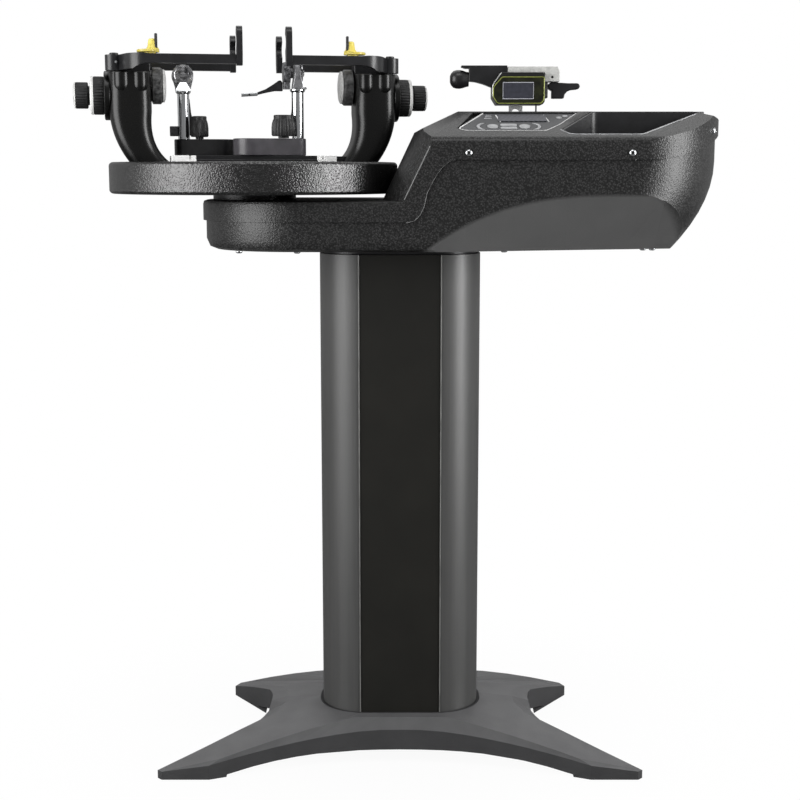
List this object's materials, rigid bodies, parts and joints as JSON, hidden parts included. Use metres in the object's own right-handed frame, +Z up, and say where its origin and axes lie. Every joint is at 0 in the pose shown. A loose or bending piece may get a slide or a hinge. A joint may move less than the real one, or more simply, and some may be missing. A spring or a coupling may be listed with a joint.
{
  "type": "racket stringing machine",
  "caption": "Floor-standing racket stringing machine: a claw base and column carry a housing with a turntable, racket towers, string clamps and a sliding tension head.",
  "frame": {"origin": "on the floor, centred below the bounding box", "axes": "+X towards the tension head's end of the housing, -Y towards the person who strings, +Z up"},
  "size_m": [0.9656, 0.436, 1.111],
  "materials": {
    "cast_grey": "satin paint on a casting",
    "grey_aluminium": "satin anodised",
    "bright_aluminium": "fine machined",
    "black_aluminium": "gloss black",
    "black_plastic": "matt",
    "grained_plastic": "leather grain",
    "panel_grey": "satin",
    "key_grey": "satin",
    "screen_glass": "polished",
    "steel": "brushed",
    "black_steel": "satin black",
    "chrome": "polished",
    "board": "lacquered",
    "yellow_plastic": "satin",
    "pad_plastic": "satin",
    "knob_plastic": "knurled"
  },
  "bodies": {
    "stand": {"base_claw": "cast_grey", "column": "grey_aluminium", "column_front_trim": "black_plastic", "column_rear_trim": "black_plastic", "column_top_plate": "steel", "upper_cover": "grained_plastic", "lower_body": "grained_plastic", "cover_screw_left": "chrome", "cover_screw_right": "chrome", "control_panel": "panel_grey", "screen": "screen_glass", "tool_tray": "black_plastic", "chassis_plate": "steel", "turntable_bearing": "steel", "tension_rail": "steel", "guide_bar": "chrome", "drive_gearcase": "black_aluminium", "drive_motor": "black_steel", "control_board": "board", "power_inlet": "black_plastic"},
    "rocker": {"power_switch": "black_plastic"},
    "turntable": {"turntable_disc": "grained_plastic", "clamp_track": "bright_aluminium"},
    "key_far_left": {"key_far_left": "key_grey"},
    "key_left": {"key_left": "key_grey"},
    "key_up": {"key_up": "key_grey"},
    "key_down": {"key_down": "key_grey"},
    "key_right": {"key_right": "key_grey"},
    "key_far_right": {"key_far_right": "key_grey"},
    "left_tower": {"left_tower": "black_aluminium"},
    "left_pad_knob": {"left_pad_knob": "knob_plastic"},
    "left_pad": {"left_pad": "pad_plastic"},
    "left_arm_knob": {"left_arm_knob": "knob_plastic"},
    "left_front_arm": {"left_front_arm": "black_aluminium"},
    "left_rear_arm": {"left_rear_arm": "black_aluminium"},
    "left_hold_down": {"left_hold_down": "yellow_plastic"},
    "right_tower": {"right_tower": "black_aluminium"},
    "right_pad_knob": {"right_pad_knob": "knob_plastic"},
    "right_pad": {"right_pad": "pad_plastic"},
    "right_arm_knob": {"right_arm_knob": "knob_plastic"},
    "right_front_arm": {"right_front_arm": "black_aluminium"},
    "right_rear_arm": {"right_rear_arm": "black_aluminium"},
    "right_hold_down": {"right_hold_down": "yellow_plastic"},
    "left_clamp": {"left_clamp_base": "black_aluminium"},
    "left_clamp_head": {"left_clamp_post": "chrome", "left_clamp_head": "black_aluminium"},
    "left_clamp_lever": {"left_clamp_lever": "black_steel"},
    "left_clamp_lock": {"left_clamp_lock": "knob_plastic"},
    "right_clamp": {"right_clamp_base": "black_aluminium"},
    "right_clamp_head": {"right_clamp_post": "chrome", "right_clamp_head": "black_aluminium"},
    "right_clamp_lever": {"right_clamp_lever": "black_steel"},
    "right_clamp_lock": {"right_clamp_lock": "knob_plastic"},
    "tension_head": {"head_carriage": "steel", "head_body": "black_aluminium", "string_gripper": "bright_aluminium", "guide_horn": "black_plastic"},
    "guide_knob": {"guide_knob": "knob_plastic"},
    "trigger_lever": {"trigger_lever": "black_plastic"}
  },
  "joints": [
    {"name": "power_rock", "type": "hinge", "parent": "stand", "child": "rocker", "pos_m": [0.10183, 0.1575, 0.892], "axis": [1, 0, 0], "range_deg": [0, 10]},
    {"name": "turntable_spin", "type": "hinge", "parent": "stand", "child": "turntable", "pos_m": [-0.21817, 0, 0.9165], "axis": [0, 0, 1], "continuous": true},
    {"name": "key_far_left_press", "type": "slide", "parent": "stand", "child": "key_far_left", "axis": [0, 0.4066, -0.9136], "range_m": [0, 0.0008], "stiffness_N_per_m": 300, "springref_m": -0.0006},
    {"name": "key_left_press", "type": "slide", "parent": "stand", "child": "key_left", "axis": [0, 0.4066, -0.9136], "range_m": [0, 0.0008], "stiffness_N_per_m": 300, "springref_m": -0.0006},
    {"name": "key_up_press", "type": "slide", "parent": "stand", "child": "key_up", "axis": [0, 0.4066, -0.9136], "range_m": [0, 0.0008], "stiffness_N_per_m": 300, "springref_m": -0.0006},
    {"name": "key_down_press", "type": "slide", "parent": "stand", "child": "key_down", "axis": [0, 0.4066, -0.9136], "range_m": [0, 0.0008], "stiffness_N_per_m": 300, "springref_m": -0.0006},
    {"name": "key_right_press", "type": "slide", "parent": "stand", "child": "key_right", "axis": [0, 0.4066, -0.9136], "range_m": [0, 0.0008], "stiffness_N_per_m": 300, "springref_m": -0.0006},
    {"name": "key_far_right_press", "type": "slide", "parent": "stand", "child": "key_far_right", "axis": [0, 0.4066, -0.9136], "range_m": [0, 0.0008], "stiffness_N_per_m": 300, "springref_m": -0.0006},
    {"name": "left_tower_slide", "type": "slide", "parent": "turntable", "child": "left_tower", "axis": [-0.9848, -0.1736, 0], "range_m": [0, 0.02]},
    {"name": "left_pad_knob_turn", "type": "hinge", "parent": "left_tower", "child": "left_pad_knob", "pos_m": [-0.44567, -0.04011, 1.014], "axis": [-0.9848, -0.1736, 0], "range_deg": [0, 720]},
    {"name": "left_pad_slide", "type": "slide", "parent": "left_tower", "child": "left_pad", "axis": [0.9848, 0.1736, 0], "range_m": [0, 0.016]},
    {"name": "left_arm_knob_turn", "type": "hinge", "parent": "left_tower", "child": "left_arm_knob", "pos_m": [-0.4693, -0.04428, 1.014], "axis": [-0.9848, -0.1736, 0], "range_deg": [-180, 720]},
    {"name": "left_front_arm_swing", "type": "hinge", "parent": "left_tower", "child": "left_front_arm", "pos_m": [-0.4152, -0.06317, 1.06], "axis": [0, 0, -1], "range_deg": [-3, 12]},
    {"name": "left_rear_arm_swing", "type": "hinge", "parent": "left_tower", "child": "left_rear_arm", "pos_m": [-0.42492, -0.00802, 1.06], "axis": [0, 0, 1], "range_deg": [-3, 12]},
    {"name": "left_hold_down_turn", "type": "hinge", "parent": "left_tower", "child": "left_hold_down", "pos_m": [-0.3718, -0.02709, 1.085], "axis": [0, 0, 1], "range_deg": [0, 90]},
    {"name": "right_tower_slide", "type": "slide", "parent": "turntable", "child": "right_tower", "axis": [0.9848, 0.1736, 0], "range_m": [0, 0.02]},
    {"name": "right_pad_knob_turn", "type": "hinge", "parent": "right_tower", "child": "right_pad_knob", "pos_m": [0.00932, 0.04011, 1.014], "axis": [0.9848, 0.1736, 0], "range_deg": [0, 720]},
    {"name": "right_pad_slide", "type": "slide", "parent": "right_tower", "child": "right_pad", "axis": [-0.9848, -0.1736, 0], "range_m": [0, 0.016]},
    {"name": "right_arm_knob_turn", "type": "hinge", "parent": "right_tower", "child": "right_arm_knob", "pos_m": [0.03295, 0.04428, 1.014], "axis": [0.9848, 0.1736, 0], "range_deg": [-180, 720]},
    {"name": "right_front_arm_swing", "type": "hinge", "parent": "right_tower", "child": "right_front_arm", "pos_m": [-0.01143, 0.00802, 1.06], "axis": [0, 0, 1], "range_deg": [-3, 12]},
    {"name": "right_rear_arm_swing", "type": "hinge", "parent": "right_tower", "child": "right_rear_arm", "pos_m": [-0.02115, 0.06317, 1.06], "axis": [0, 0, -1], "range_deg": [-3, 12]},
    {"name": "right_hold_down_turn", "type": "hinge", "parent": "right_tower", "child": "right_hold_down", "pos_m": [-0.06454, 0.02709, 1.085], "axis": [0, 0, 1], "range_deg": [0, 90]},
    {"name": "left_clamp_slide", "type": "slide", "parent": "turntable", "child": "left_clamp", "axis": [0.9848, 0.1736, 0], "range_m": [0, 0.1]},
    {"name": "left_clamp_swivel", "type": "hinge", "parent": "left_clamp", "child": "left_clamp_head", "pos_m": [-0.32685, 0.01739, 0.985], "axis": [0, 0, 1], "range_deg": [-90, 15]},
    {"name": "left_clamp_lever_tip", "type": "hinge", "parent": "left_clamp_head", "child": "left_clamp_lever", "pos_m": [-0.33153, 0.04398, 1.032], "axis": [0.9848, 0.1736, 0], "range_deg": [0, 35]},
    {"name": "left_clamp_lock_turn", "type": "hinge", "parent": "left_clamp", "child": "left_clamp_lock", "pos_m": [-0.30159, 0.00662, 0.97], "axis": [0, 0, 1], "range_deg": [-30, 30]},
    {"name": "right_clamp_slide", "type": "slide", "parent": "turntable", "child": "right_clamp", "axis": [0.9848, 0.1736, 0], "range_m": [-0.07, 0.02]},
    {"name": "right_clamp_swivel", "type": "hinge", "parent": "right_clamp", "child": "right_clamp_head", "pos_m": [-0.14949, -0.02444, 0.985], "axis": [0, 0, 1], "range_deg": [-45, 60]},
    {"name": "right_clamp_lever_tip", "type": "hinge", "parent": "right_clamp_head", "child": "right_clamp_lever", "pos_m": [-0.17608, -0.02913, 1.032], "axis": [-0.1736, 0.9848, 0], "range_deg": [0, 35]},
    {"name": "right_clamp_lock_turn", "type": "hinge", "parent": "right_clamp", "child": "right_clamp_lock", "pos_m": [-0.16953, -0.04321, 0.97], "axis": [0, 0, 1], "range_deg": [-45, 45]},
    {"name": "head_slide", "type": "slide", "parent": "stand", "child": "tension_head", "axis": [1, 0, 0], "range_m": [0, 0.16]},
    {"name": "guide_knob_turn", "type": "hinge", "parent": "tension_head", "child": "guide_knob", "pos_m": [0.09383, 0, 1.04], "axis": [1, 0, 0], "continuous": true},
    {"name": "trigger_pull", "type": "hinge", "parent": "tension_head", "child": "trigger_lever", "pos_m": [0.23283, 0, 1.0295], "axis": [0, 1, 0], "range_deg": [0, 20], "stiffness_Nm_per_rad": 0.2, "springref_deg": -5.73}
  ],
  "couplings": [
    {"joint": "left_pad_slide", "follows": "left_pad_knob_turn", "m_per_rad": 0.00127},
    {"joint": "left_front_arm_swing", "follows": "left_arm_knob_turn", "ratio": 0.016667},
    {"joint": "left_rear_arm_swing", "follows": "left_arm_knob_turn", "ratio": 0.016667},
    {"joint": "right_pad_slide", "follows": "right_pad_knob_turn", "m_per_rad": 0.00127},
    {"joint": "right_front_arm_swing", "follows": "right_arm_knob_turn", "ratio": 0.016667},
    {"joint": "right_rear_arm_swing", "follows": "right_arm_knob_turn", "ratio": 0.016667}
  ]
}
